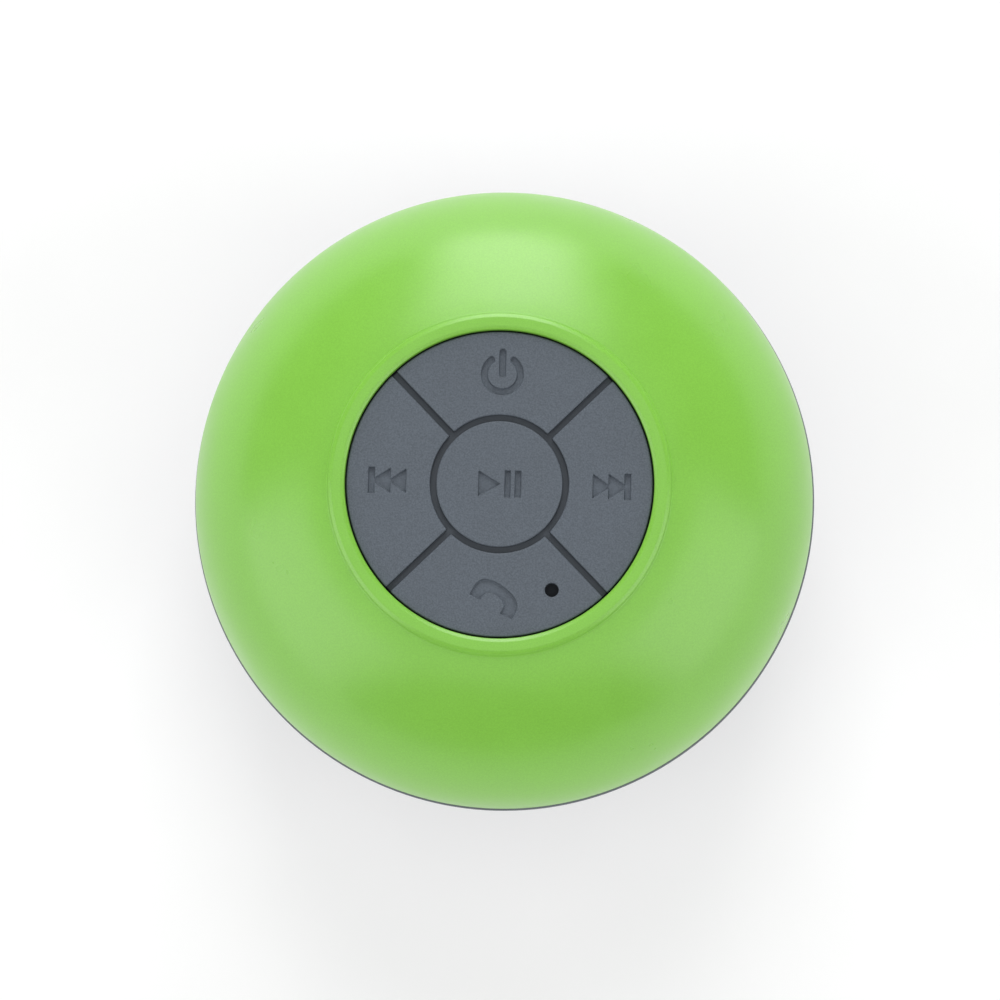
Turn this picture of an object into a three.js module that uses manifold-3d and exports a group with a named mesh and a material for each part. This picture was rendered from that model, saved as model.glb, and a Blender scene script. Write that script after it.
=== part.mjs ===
// Round suction-cup shower speaker, in millimetres, +Z up.
// The origin is the centre of the suction cup's rim, on the surface that the speaker stands on.
// +Y points to the power key and -Y to the call key and the charging port.
import * as THREE from "three";
import { mergeVertices } from "three/addons/utils/BufferGeometryUtils.js";
import Module from "manifold-3d";

const wasm = await Module();
wasm.setup();

// Driving dimensions
const BODY_R = 43; // widest radius, at the base shell's flange
const TOTAL_H = 54; // standing surface to the top of the bezel bead
const BASE_Z = 9; // underside of the base shell
const EQUATOR_Z = 28; // height of the widest section
const WALL = 2; // moulded wall thickness
const KEYPAD_R = 20.5; // radius over the five keys
const KEY_TOP_Z = 53.2;
const KEY_T = 1.5; // thickness of a key above its web
const KEY_TRAVEL = 0.6;
const CENTRE_KEY_R = 8.43;
const GROOVE = 0.84; // width of the grooves between keys
const OUTER_KEY_R = 14.5; // radius on which the four outer keys are pressed
const CUP_R = 29; // suction cup rim
const CENTRE_R = 17; // radius where the round-over of both shells begins

// Clearances
const FIT = 0.05; // flat faces that rest on each other
const RUN = 0.35; // round faces and moving pieces

// Segments of a turned piece
const BIG = 36;
const MID = 20;
const SMALL = 12;

const COLOURS = {
  green: [0x86cc4c, 0.42, 0],
  grey: [0x656c74, 0.7, 0],
  dark: [0x4a5058, 0.6, 0],
  silicone: [0x5c636b, 0.75, 0],
  black: [0x17181a, 0.5, 0],
  board: [0x1d5a3a, 0.45, 0],
  steel: [0xb9bcc0, 0.3, 1],
  ferrite: [0x303134, 0.6, 0.2],
  copper: [0xb8693a, 0.35, 1],
  paper: [0x26262a, 0.9, 0],
  silver_wrap: [0xb4b8bc, 0.4, 0.3],
  white: [0xe8e8e4, 0.5, 0],
  red: [0xb3201c, 0.5, 0],
  mesh: [0x3a3c40, 0.9, 0],
};
const materials = Object.fromEntries(
  Object.entries(COLOURS).map(([name, [color, roughness, metalness]]) => [
    name,
    new THREE.MeshStandardMaterial({ name, color, roughness, metalness }),
  ]),
);

// ---------- solids ----------

function toSolid(geometry) {
  const bare = geometry.index ? geometry.toNonIndexed() : geometry.clone();
  bare.deleteAttribute("normal");
  bare.deleteAttribute("uv");
  const merged = mergeVertices(bare, 1e-4);
  return new wasm.Manifold(
    new wasm.Mesh({
      numProp: 3,
      vertProperties: merged.attributes.position.array,
      triVerts: new Uint32Array(merged.index.array),
    }),
  );
}

function toGeometry(solid) {
  const mesh = solid.getMesh();
  return new THREE.BufferGeometry()
    .setAttribute("position", new THREE.BufferAttribute(mesh.vertProperties, 3))
    .setIndex(new THREE.BufferAttribute(mesh.triVerts, 1));
}

// A solid turned about +Z. The profile is [radius, height] points, anticlockwise from the axis,
// and either starts and ends on the axis or closes on itself.
function turned(profile, segments = BIG) {
  const points = profile.map(([r, z]) => new THREE.Vector2(r, z));
  if (profile[0][0] > 0) points.push(points[0].clone());
  return new THREE.LatheGeometry(points, segments).rotateX(Math.PI / 2);
}

const ring = (r0, r1, z0, z1, segments = MID) =>
  turned([[r0, z0], [r1, z0], [r1, z1], [r0, z1]], segments);

const disc = (r, z0, z1, segments = MID) =>
  turned([[0, z0], [r, z0], [r, z1], [0, z1]], segments);

// An axis-aligned box between two corners.
function block([x0, y0, z0], [x1, y1, z1]) {
  return new THREE.BoxGeometry(x1 - x0, y1 - y0, z1 - z0).translate(
    (x0 + x1) / 2,
    (y0 + y1) / 2,
    (z0 + z1) / 2,
  );
}

// A flat outline raised between two heights.
function raised(shape, z0, z1, curveSegments = 6) {
  const options = { depth: z1 - z0, bevelEnabled: false, curveSegments };
  return new THREE.ExtrudeGeometry(shape, options).translate(0, 0, z0);
}

function join(...geometries) {
  return geometries.map(toSolid).reduce((a, b) => a.add(b));
}

// A lead of round section along a smooth curve through points.
function lead(points, radius, steps = 8, sides = 8) {
  const path = new THREE.CatmullRomCurve3(points.map((p) => new THREE.Vector3(...p)));
  const section = new THREE.Shape(
    Array.from({ length: sides }, (_, i) => {
      const angle = (2 * Math.PI * i) / sides;
      return new THREE.Vector2(radius * Math.cos(angle), radius * Math.sin(angle));
    }),
  );
  return new THREE.ExtrudeGeometry(section, { steps, bevelEnabled: false, extrudePath: path });
}

const polar = (r, degrees) => [
  r * Math.cos(THREE.MathUtils.degToRad(degrees)),
  r * Math.sin(THREE.MathUtils.degToRad(degrees)),
];

const at = (geometry, [x, y], z = 0) => geometry.clone().translate(x, y, z);

// ---------- assembly ----------

const speaker = new THREE.Group();

function part(name, shape, material, position = [0, 0, 0]) {
  const geometry = shape.isBufferGeometry ? shape : toGeometry(shape);
  const mesh = new THREE.Mesh(geometry, materials[material]);
  mesh.name = name;
  mesh.position.set(...position);
  speaker.add(mesh);
  return mesh;
}

// Round-over of a shell: an elliptical arc from the crown (or floor) out to the equator.
function roundOver(radius, height, from, to, steps) {
  return Array.from({ length: steps + 1 }, (_, i) => {
    const t = THREE.MathUtils.degToRad(from + ((to - from) * i) / steps);
    const r = CENTRE_R + (radius - CENTRE_R) * Math.sin(t);
    return [r, EQUATOR_Z + height * Math.cos(t)];
  });
}

// Angle, in degrees, at which a round-over of that outer radius reaches radius r.
const angleAt = (radius, r) =>
  THREE.MathUtils.radToDeg(Math.asin((r - CENTRE_R) / (radius - CENTRE_R)));

// --- heights shared by several pieces ---
const SEAM_Z = 27.75; // cover's rim
const FLANGE_TOP_Z = 27.45; // base shell's flange
const COVER_R = BODY_R - 0.25;
const DOME_H = TOTAL_H - 0.05 - EQUATOR_Z;
const BAFFLE_Z = [17.55, 19.05];
const BOARD_Z = [45.3, 46.9];
const WEB_Z = [50.2, 50.8];
const WEB_R = 21.6;
const POST_R = 29; // radius of the four long assembly screws
const POST_ANGLES = [45, 135, 225, 315];
const BOARD_BOSS_R = 24.9;
const BOARD_BOSS_ANGLES = [90, 210, 330];

// --- top cover: painted dome with a bead round the keypad opening ---
function topCover() {
  const opening = KEYPAD_R + RUN;
  const beadOut = 22.9;
  const bead = [
    [opening, TOTAL_H - 0.5],
    [opening + 0.5, TOTAL_H],
    [beadOut - 0.6, TOTAL_H],
  ];
  const dome = roundOver(COVER_R, DOME_H, angleAt(COVER_R, beadOut), 90, 8);
  const inside = roundOver(COVER_R - WALL, DOME_H - 2.45, angleAt(COVER_R - WALL, opening), 90, 5);
  const profile = [...bead, ...dome, [COVER_R, SEAM_Z], [COVER_R - WALL, SEAM_Z], ...inside.reverse()];
  const shell = toSolid(turned(profile.reverse()));
  const outline = roundOver(COVER_R - 0.8, DOME_H - 1.2, 90, 0, 6);
  const envelope = toSolid(
    turned([[0, BASE_Z], [COVER_R - 0.8, BASE_Z], ...outline, [0, outline.at(-1)[1]]]),
  );
  let cover = shell;
  for (const angle of POST_ANGLES) {
    const post = at(disc(3, BAFFLE_Z[1] + FIT, 49.5, SMALL), polar(POST_R, angle));
    cover = cover.add(toSolid(post).intersect(envelope));
  }
  for (const angle of BOARD_BOSS_ANGLES) {
    const boss = at(disc(2, BOARD_Z[1] + FIT, 51.5, SMALL), polar(BOARD_BOSS_R, angle));
    cover = cover.add(toSolid(boss).intersect(envelope));
  }
  for (const angle of POST_ANGLES)
    cover = cover.subtract(toSolid(at(disc(1.6, BAFFLE_Z[1] - 1, 28, 8), polar(POST_R, angle))));
  for (const angle of BOARD_BOSS_ANGLES)
    cover = cover.subtract(toSolid(at(disc(1.1, BOARD_Z[1] - 1, 49.6, 8), polar(BOARD_BOSS_R, angle))));
  return cover;
}
part("top_cover", topCover(), "green");

// --- base shell: bowl with sound slots, cup socket, screw bosses and charging port ---
const BASE_R = 42.3;
const BASE_H = EQUATOR_Z - BASE_Z;
const baseCurve = (from, to, steps) => roundOver(BASE_R, -BASE_H, from, to, steps);
const baseOutside = [
  [0, BASE_Z],
  ...baseCurve(0, 82, 6),
  [BODY_R, 25.8],
  [BODY_R, FLANGE_TOP_Z],
];
const PORT_Z = 22.2;
const PORT_FACE_Y = -38.4;
const SLOT_PITCH = 15; // degrees between sound slots
const SLOT_W = 2.2;
const SOCKET_R = 6;
const SOCKET_TOP_Z = 15.4;

function baseShell() {
  const inside = roundOver(BASE_R - WALL, -(BASE_H - WALL), angleAt(BASE_R - WALL, 38.9), 0, 5);
  const profile = [
    ...baseOutside,
    [42.1, FLANGE_TOP_Z],
    [42.1, 26.5],
    [40.9, 26.5],
    [40.9, FLANGE_TOP_Z],
    [40.3, FLANGE_TOP_Z],
    [40.3, 29.9],
    [38.9, 29.9],
    ...inside,
    [0, BASE_Z + WALL],
  ];
  const envelope = toSolid(turned([...baseOutside, [0, FLANGE_TOP_Z]]));
  const addInside = (base, geometry) => base.add(toSolid(geometry).intersect(envelope));
  let base = toSolid(turned(profile));
  base = addInside(base, disc(SOCKET_R + 1.7, BASE_Z + 1, SOCKET_TOP_Z + 1, MID));
  base = addInside(base, block([-8, -41, 18], [8, -35, 25.3]));
  for (const angle of POST_ANGLES)
    base = addInside(base, at(disc(3.6, BASE_Z, BAFFLE_Z[0] - FIT, SMALL), polar(POST_R, angle)));
  const cutters = [
    disc(SOCKET_R, BASE_Z - 1, SOCKET_TOP_Z, MID),
    block([-6.4, -46, 19.2], [6.4, PORT_FACE_Y, 25.2]),
    block([-4.1, PORT_FACE_Y - 1, PORT_Z - 1.6], [4.1, -34, PORT_Z + 1.6]),
  ];
  for (const angle of POST_ANGLES) {
    cutters.push(at(disc(2.9, BASE_Z - 2, 14, SMALL), polar(POST_R, angle)));
    cutters.push(at(disc(1.7, 13, BAFFLE_Z[0] + 1, SMALL / 2), polar(POST_R, angle)));
  }
  for (let angle = 0; angle < 360; angle += SLOT_PITCH) {
    if (POST_ANGLES.includes(angle)) continue;
    const slot = block([27.5, -SLOT_W / 2, BASE_Z - 2], [33.5, SLOT_W / 2, 16]);
    cutters.push(slot.rotateZ(THREE.MathUtils.degToRad(angle)));
  }
  for (const cutter of cutters) base = base.subtract(toSolid(cutter));
  return base;
}
part("base_shell", baseShell(), "grey");
const GASKET = [[41, 27], [41.25, 26.6], [41.75, 26.6], [42, 27], [41.75, 27.7], [41.25, 27.7]];
part("seam_gasket", turned(GASKET), "black");

// --- charging port cover: a silicone flap on a live hinge along its lower edge ---
const FLAP_HINGE = { y: -40, z: 19.2 };
function portCover() {
  const envelope = toSolid(turned([...baseOutside, [0, FLANGE_TOP_Z]]));
  const plate = toSolid(block([-6, -46, 19.6], [6, PORT_FACE_Y - 0.3, 24.8])).intersect(envelope);
  const tongue = toSolid(block([-3.6, PORT_FACE_Y - 0.5, PORT_Z - 1.2], [3.6, -37.3, PORT_Z + 0.9]));
  const neck = toSolid(block([-3, FLAP_HINGE.y - 0.2, FLAP_HINGE.z], [3, -39.1, 20.2]));
  const barrel = new THREE.CylinderGeometry(0.4, 0.4, 6, 8)
    .rotateZ(Math.PI / 2)
    .translate(0, FLAP_HINGE.y, FLAP_HINGE.z);
  return plate.add(tongue).add(neck).add(toSolid(barrel));
}
part("usb_port_cover", portCover(), "silicone");

// --- keypad: five silicone keys on a web with a skirt that seals against the board ---
const KEYS = [
  { name: "play", centre: [0, 0] },
  { name: "next", angle: 0, centre: polar(OUTER_KEY_R, 0) },
  { name: "power", angle: 90, centre: polar(OUTER_KEY_R, 90) },
  { name: "previous", angle: 180, centre: polar(OUTER_KEY_R, 180) },
  { name: "call", angle: 270, centre: polar(OUTER_KEY_R, 270) },
];
const MIC = [7.35, -14];
const NUB_R = 1.6;
const NUB_BOTTOM_Z = 49.55;

// A quarter of the ring between the centre key and the rim, less half a groove on each straight side.
function sector(angle) {
  const inner = CENTRE_KEY_R + GROOVE;
  const halfSpan = (r) => Math.PI / 4 - Math.asin(GROOVE / 2 / r);
  const middle = THREE.MathUtils.degToRad(angle);
  const shape = new THREE.Shape();
  shape.absarc(0, 0, KEYPAD_R, middle - halfSpan(KEYPAD_R), middle + halfSpan(KEYPAD_R), false);
  shape.absarc(0, 0, inner, middle + halfSpan(inner), middle - halfSpan(inner), true);
  return shape;
}

function key({ angle, centre, name }) {
  const bottom = KEY_TOP_Z - KEY_T;
  const cap =
    angle === undefined
      ? disc(CENTRE_KEY_R, bottom, KEY_TOP_Z, MID)
      : raised(sector(angle), bottom, KEY_TOP_Z, 4);
  const nub = at(disc(NUB_R, NUB_BOTTOM_Z, bottom + 0.2, SMALL / 2), centre);
  const made = join(cap, nub);
  if (name !== "call") return made;
  const micHole = at(disc(0.9, bottom - 1, KEY_TOP_Z + 1, 12), MIC);
  return made.subtract(toSolid(micHole));
}
for (const k of KEYS) part(`key_${k.name}`, key(k), "silicone");

function keypadMembrane() {
  const ribTop = KEY_TOP_Z - 0.6;
  const ribR = CENTRE_KEY_R + GROOVE / 2;
  const rib = 0.15; // half width
  let membrane = join(
    disc(WEB_R, WEB_Z[0], WEB_Z[1]),
    ring(20.3, WEB_R, BOARD_Z[1] + FIT, WEB_Z[0] + 0.1),
    ring(ribR - rib, ribR + rib, WEB_Z[1] - 0.1, ribTop),
  );
  for (const angle of POST_ANGLES) {
    const spoke = block([ribR, -rib, WEB_Z[1] - 0.1], [KEYPAD_R - 0.5, rib, ribTop]);
    membrane = membrane.add(toSolid(spoke.rotateZ(THREE.MathUtils.degToRad(angle))));
  }
  const hole = (r, segments) => disc(r, WEB_Z[0] - 1, WEB_Z[1] + 1, segments);
  for (const { centre } of KEYS)
    membrane = membrane.subtract(toSolid(at(hole(NUB_R + 0.4, SMALL / 2), centre)));
  return membrane.subtract(toSolid(at(hole(1, 10), MIC)));
}
part("keypad_membrane", keypadMembrane(), "silicone");

// --- main board with its switches, microphone, chips and connectors ---
function mainBoard() {
  const hole = (r, segments) => disc(r, BOARD_Z[0] - 1, BOARD_Z[1] + 1, segments);
  let board = toSolid(disc(27.3, BOARD_Z[0], BOARD_Z[1]));
  for (const angle of POST_ANGLES)
    board = board.subtract(toSolid(at(hole(3.6, SMALL), polar(POST_R, angle))));
  for (const angle of BOARD_BOSS_ANGLES)
    board = board.subtract(toSolid(at(hole(1.3, 8), polar(BOARD_BOSS_R, angle))));
  return board;
}
part("main_board", mainBoard(), "board");

const BOARD_TOP = BOARD_Z[1] + FIT;
const BOARD_UNDER = BOARD_Z[0] - FIT;
const SWITCH_SIDE = 4.5;
const SWITCH_H = 1.55;
const PLUNGER_TOP_Z = NUB_BOTTOM_Z - RUN;
for (const { name, centre } of KEYS) {
  const half = SWITCH_SIDE / 2;
  const body = toSolid(block([-half, -half, 0], [half, half, SWITCH_H]));
  const can = body.subtract(toSolid(disc(1.3, 0.1, 3, 10)));
  part(`switch_${name}`, can, "steel", [...centre, BOARD_TOP]);
  part(`plunger_${name}`, disc(1, 47.4, PLUNGER_TOP_Z, 10), "black", [...centre, 0]);
}
part("microphone", disc(2, BOARD_TOP, 48.3, SMALL), "steel", [...MIC, 0]);
part("mic_boot", ring(0.95, 2, 48.35, WEB_Z[0] - FIT, SMALL), "black", [...MIC, 0]);
part("status_led", block([-0.8, -0.5, 0], [0.8, 0.5, 0.7]), "white", [10.4, -11.2, BOARD_TOP]);
part("audio_chip", block([-3, -3, -0.9], [3, 3, 0]), "black", [-6, 5, BOARD_UNDER]);
part("amplifier_chip", block([-2, -2.5, -0.9], [2, 2.5, 0]), "black", [7, 6, BOARD_UNDER]);
part("filter_capacitor", disc(2.5, -5, 0, SMALL), "silver_wrap", [20.6, 7, BOARD_UNDER]);
part("battery_plug", block([-2.4, -2.6, -1.6], [2.4, 2.6, 0]), "white", [-15, -10, BOARD_UNDER]);
part("speaker_plug", block([-2.4, -2.6, -1.6], [2.4, 2.6, 0]), "white", [15, -10, BOARD_UNDER]);

// --- battery on a foam pad over the driver ---
function roundedRectangle(width, depth, radius) {
  const shape = new THREE.Shape();
  const x = width / 2 - radius;
  const y = depth / 2 - radius;
  shape.absarc(x, y, radius, 0, Math.PI / 2, false);
  shape.absarc(-x, y, radius, Math.PI / 2, Math.PI, false);
  shape.absarc(-x, -y, radius, Math.PI, 1.5 * Math.PI, false);
  shape.absarc(x, -y, radius, 1.5 * Math.PI, 2 * Math.PI, false);
  return shape;
}
part("battery_pad", block([-10, -8, 37.85], [10, 8, 38.65]), "black");
part("battery_cell", raised(roundedRectangle(34, 26, 1.5), 38.7, 43.3, 2), "silver_wrap");

// --- speaker driver, facing down, on its baffle ---
function speakerBaffle() {
  let baffle = toSolid(ring(17.2, 34.9, BAFFLE_Z[0], BAFFLE_Z[1]));
  baffle = baffle.subtract(toSolid(block([-12, -40, 10], [12, -34.4, 25])));
  for (const x of [-5, 5]) {
    const pad = block([x - 1.2, -31.2, BAFFLE_Z[1] - 0.2], [x + 1.2, -28.8, 19.85]);
    baffle = baffle.add(toSolid(pad));
  }
  for (const angle of POST_ANGLES)
    baffle = baffle.subtract(toSolid(at(disc(1.7, 10, 25, 8), polar(POST_R, angle))));
  return baffle;
}
part("speaker_baffle", speakerBaffle(), "black");
part("speaker_mesh", disc(19.8, 19.1, 19.3, MID), "mesh");
part("speaker_gasket", ring(17.4, 19.8, 19.35, 20.15), "black");

function speakerBasket() {
  const profile = [
    [17.5, 20.2], [20, 20.2], [20, 21], [18.4, 21], [14.6, 27.6],
    [14.6, 28.2], [8.2, 28.2], [8.2, 27.4], [13.6, 27.4], [17.5, 20.6],
  ];
  let basket = toSolid(turned(profile, MID));
  for (let i = 0; i < 4; i += 1) {
    const opening = block([11, -4, 22.6], [22, 4, 26.4]).rotateZ(((i + 0.5) * Math.PI) / 2);
    basket = basket.subtract(toSolid(opening));
  }
  return basket;
}
part("speaker_basket", speakerBasket(), "steel");
part("speaker_front_plate", ring(7.2, 13.8, 28.25, 30.2), "steel");
part("speaker_magnet", ring(8.8, 14.5, 30.25, 35.6), "ferrite");
part("voice_coil", ring(6.3, 6.9, 24.6, 31), "copper");
const YOKE = [[0, 28], [6, 28], [6, 35.65], [13.8, 35.65], [13.8, 37.8], [0, 37.8]];
const CONE = [[7.05, 24.7], [14.9, 20.8], [14.9, 21.3], [7.05, 25.2]];
const DUST_CAP = [[0, 22.6], [3.6, 23], [6.4, 24.55], [5.7, 24.55], [3.4, 23.4], [0, 23]];
const SURROUND = [
  [15.05, 20.6], [15.6, 20.25], [16.7, 20.25], [17.1, 20.6],
  [17.1, 21], [16.6, 20.6], [15.7, 20.6], [15.05, 21],
];
const SPIDER = [
  [7.2, 25.7], [9.2, 26], [11.2, 25.7], [13.1, 26],
  [13.1, 26.4], [11.2, 26.1], [9.2, 26.4], [7.2, 26.1],
];
part("speaker_yoke", turned(YOKE, MID), "steel");
part("speaker_cone", turned(CONE, MID), "paper");
part("dust_cap", turned(DUST_CAP, MID), "paper");
part("speaker_surround", turned(SURROUND, MID), "black");
part("speaker_spider", turned(SPIDER, MID), "copper");

// --- charging socket on its own small board ---
part("usb_board", block([-7, -34.7, 19.9], [7, -26, 20.9]), "board");
const socketShell = toSolid(block([-3.8, -36.9, 20.95], [3.8, -31.3, 23.4]));
const socketMouth = toSolid(block([-3.4, -38, 21.35], [3.4, -33, 23]));
part("usb_socket", socketShell.subtract(socketMouth), "steel");

// --- leads inside the housing ---
const LEAD_R = 0.5;
const LEADS = {
  battery_lead_red: [
    [-17.4, 3, 41], [-19.6, 1.6, 41.4], [-21.4, -3, 42.6], [-20.4, -7, 44], [-17.8, -8.8, 44.4],
  ],
  battery_lead_black: [
    [-17.4, -1, 40.4], [-18.8, -2.8, 40.8], [-19.2, -6.4, 42], [-19, -9.6, 43.6], [-17.8, -11.4, 44.2],
  ],
  speaker_lead_red: [
    [15.9, 1.4, 28], [18.4, 1.7, 29.6], [20.6, 1.6, 35], [20.2, -3.6, 41], [17.9, -8.8, 44.4],
  ],
  speaker_lead_black: [
    [15.9, -1.4, 28], [18.2, -1.8, 29.4], [19.8, -3.4, 34], [19.2, -8.2, 40.6], [17.9, -11.4, 44],
  ],
};
for (const [name, points] of Object.entries(LEADS))
  part(name, lead(points, LEAD_R), name.endsWith("red") ? "red" : "black");
const USB_LEAD = [
  [0, -24.9, 20.4], [2, -23.5, 23], [4, -23, 30], [3, -22.4, 38], [0.6, -21.4, 42.6], [0, -20.6, 44.9],
];
part("usb_lead", lead(USB_LEAD, 0.9), "black");

// --- screws ---
function screw(headR, headH, shankR, length) {
  const top = headH + length;
  return turned([[0, 0], [headR, 0], [headR, headH], [shankR, headH], [shankR, top], [0, top]], 8);
}
POST_ANGLES.forEach((angle, i) => {
  part(`cover_screw_${i + 1}`, screw(2.5, 1.7, 1.2, 12), "steel", [...polar(POST_R, angle), 12.25]);
});
BOARD_BOSS_ANGLES.forEach((angle, i) => {
  const place = [...polar(BOARD_BOSS_R, angle), BOARD_UNDER - 1.1];
  part(`board_screw_${i + 1}`, screw(1.9, 1.1, 0.8, 4), "steel", place);
});

// --- suction cup on a spigot that pushes into the base shell's socket ---
const SPIGOT = [
  [0, 3.5], [4.2, 3.5], [4.2, 4.2], [3.2, 4.6], [3.2, 7.3], [9, 7.3], [9, 8.7],
  [5.3, 8.7], [5.3, 11.6], [5.65, 12.4], [5.3, 13.2], [5.3, 14.6], [4.8, 15.1], [0, 15.1],
];
part("cup_spigot", turned(SPIGOT, MID), "dark");
function suctionCup() {
  const bell = turned([
    [0, 2.1], [14, 1.7], [26, 0.4], [27.5, 0], [CUP_R, 0], [CUP_R, 0.8],
    [22, 3], [14, 4.6], [9.6, 5.8], [8.6, 7], [3.6, 7], [3.6, 4.9], [4.6, 4.5], [4.6, 3.2], [0, 3.2],
  ]);
  const tab = new THREE.Shape();
  const tabHalf = 4;
  tab.absarc(30, 0, tabHalf, -Math.PI / 2, Math.PI / 2, false);
  tab.lineTo(27.4, tabHalf);
  tab.lineTo(27.4, -tabHalf);
  return toSolid(bell).add(toSolid(raised(tab, 0.3, 1.5, 4)));
}
part("suction_cup", suctionCup(), "silicone");

export default speaker;
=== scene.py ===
"""Looks of the round suction-cup shower speaker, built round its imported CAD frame.

Shapes are written in millimetres in the frame's axes (+Z up, +Y to the power key) and made in metres.
"""

import math

import bmesh
import bpy
from mathutils import Matrix, Vector
from mathutils.geometry import delaunay_2d_cdt


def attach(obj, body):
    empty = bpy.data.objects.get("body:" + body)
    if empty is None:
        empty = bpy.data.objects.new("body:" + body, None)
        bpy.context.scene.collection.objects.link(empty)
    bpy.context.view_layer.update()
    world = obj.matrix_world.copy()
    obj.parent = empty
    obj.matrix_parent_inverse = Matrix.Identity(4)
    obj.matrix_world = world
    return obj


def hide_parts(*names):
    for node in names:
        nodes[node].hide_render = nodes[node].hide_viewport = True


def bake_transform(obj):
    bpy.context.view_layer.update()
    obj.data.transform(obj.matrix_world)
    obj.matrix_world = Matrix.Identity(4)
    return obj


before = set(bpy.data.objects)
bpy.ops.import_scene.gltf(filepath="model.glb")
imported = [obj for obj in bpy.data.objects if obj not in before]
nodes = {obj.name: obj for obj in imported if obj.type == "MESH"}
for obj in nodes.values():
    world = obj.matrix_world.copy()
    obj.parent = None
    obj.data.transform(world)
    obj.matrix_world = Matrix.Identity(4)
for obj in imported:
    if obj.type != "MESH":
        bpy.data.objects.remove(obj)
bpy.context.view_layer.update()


MM = 0.001

# ---------------------------------------------------------------- dimensions, as in the CAD

TOP_Z = 54.0
EQUATOR_Z = 28.0
CENTRE_R = 17.0
COVER_R = 42.75
KEYPAD_R = 20.44
KEY_TOP_Z = 53.2
CENTRE_KEY_R = 8.43
OUTER_KEY_R = 14.5
GROOVE = 0.84
GROOVE_FLOOR_Z = 52.58
GLYPH_DEPTH = 0.5
MIC = (7.35, -14.0)
POST_R = 29.0
POST_ANGLES = (45, 135, 225, 315)
BOARD_BOSS_R = 24.9
BOARD_BOSS_ANGLES = (90, 210, 330)
PORT_FACE_Y = -38.4

# ---------------------------------------------------------------- outlines


def arc(cx, cy, r, start, end, steps):
    """Points on an arc, from start to end in degrees, both ends included."""
    angles = [math.radians(start + (end - start) * i / steps) for i in range(steps + 1)]
    return [(cx + r * math.cos(a), cy + r * math.sin(a)) for a in angles]


def polar(r, degrees):
    return (r * math.cos(math.radians(degrees)), r * math.sin(math.radians(degrees)))


def circle(cx, cy, r, steps):
    return arc(cx, cy, r, 0, 360, steps)[:-1]


def round_corners(points, radius, steps=5):
    """The closed outline with each sharp corner rounded to radius, or less where there's no room."""
    made = []
    count = len(points)
    for i, here in enumerate(points):
        p = Vector(here)
        before = Vector(points[i - 1]) - p
        after = Vector(points[(i + 1) % count]) - p
        if before.length < 1e-6 or after.length < 1e-6:
            continue
        turn = math.pi - before.angle(after)
        if turn < math.radians(20):
            made.append(tuple(p))
            continue
        reach = min(radius * math.tan(turn / 2), before.length * 0.45, after.length * 0.45)
        a = p + before.normalized() * reach
        b = p + after.normalized() * reach
        for k in range(steps + 1):
            t = k / steps
            made.append(tuple(a * (1 - t) ** 2 + p * 2 * t * (1 - t) + b * t * t))
    return made


def offset(points, distance):
    """The closed outline moved outwards by distance, if it runs anticlockwise."""
    made = []
    count = len(points)
    for i, here in enumerate(points):
        p = Vector(here)
        into = (p - Vector(points[i - 1])).normalized()
        out = (Vector(points[(i + 1) % count]) - p).normalized()
        n1 = Vector((into.y, -into.x))
        n2 = Vector((out.y, -out.x))
        normal = (n1 + n2).normalized()
        stretch = min(1.5, 1 / max(0.3, normal.dot(n1)))
        made.append(tuple(p + normal * distance * stretch))
    return made


def moved(points, dx, dy, turn=0):
    c, s = math.cos(math.radians(turn)), math.sin(math.radians(turn))
    return [(x * c - y * s + dx, x * s + y * c + dy) for x, y in points]


def mirrored(points):
    """The outline mirrored left to right, still anticlockwise."""
    return [(-x, y) for x, y in reversed(points)]


def stadium(x0, y0, x1, y1, r, steps=8):
    """A bar with round ends between two points."""
    turn = math.degrees(math.atan2(y1 - y0, x1 - x0))
    ends = arc(x1, y1, r, turn - 90, turn + 90, steps) + arc(x0, y0, r, turn + 90, turn + 270, steps)
    return ends


# ---------------------------------------------------------------- meshes


def piece(name, bm, body, material, slot, stands_for=(), sharp=38, second=None, bend=None):
    """A finished object from a bmesh in millimetres, riding on a CAD body.

    bend is another body and two heights. Only whether it is given counts: such a piece is left
    unattached, in the scene's own frame.
    """
    bmesh.ops.remove_doubles(bm, verts=bm.verts, dist=1e-4)
    bmesh.ops.recalc_face_normals(bm, faces=bm.faces)
    bmesh.ops.scale(bm, vec=(MM, MM, MM), verts=bm.verts)
    mesh = bpy.data.meshes.new(name)
    bm.to_mesh(mesh)
    bm.free()
    mesh.materials.append(material)
    if second:
        mesh.materials.append(second)
    made = bpy.data.objects.new(name, mesh)
    bpy.context.scene.collection.objects.link(made)
    smooth(made, sharp)
    if bend:
        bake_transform(made)
    else:
        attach(made, body)
    if stands_for:
        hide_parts(*stands_for)
    return made


def smooth(made, sharp):
    """Smooth shading, with edges over that many degrees kept sharp and flat faces kept flat."""
    bm = bmesh.new()
    bm.from_mesh(made.data)
    for face in bm.faces:
        face.smooth = abs(face.normal.z) < 0.99999
    limit = math.radians(sharp)
    for edge in bm.edges:
        edge.smooth = len(edge.link_faces) == 2 and edge.calc_face_angle(0) < limit
    bm.to_mesh(made.data)
    bm.free()
    weighted = made.modifiers.new("weighted", "WEIGHTED_NORMAL")
    weighted.keep_sharp = True
    weighted.weight = 90


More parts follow.
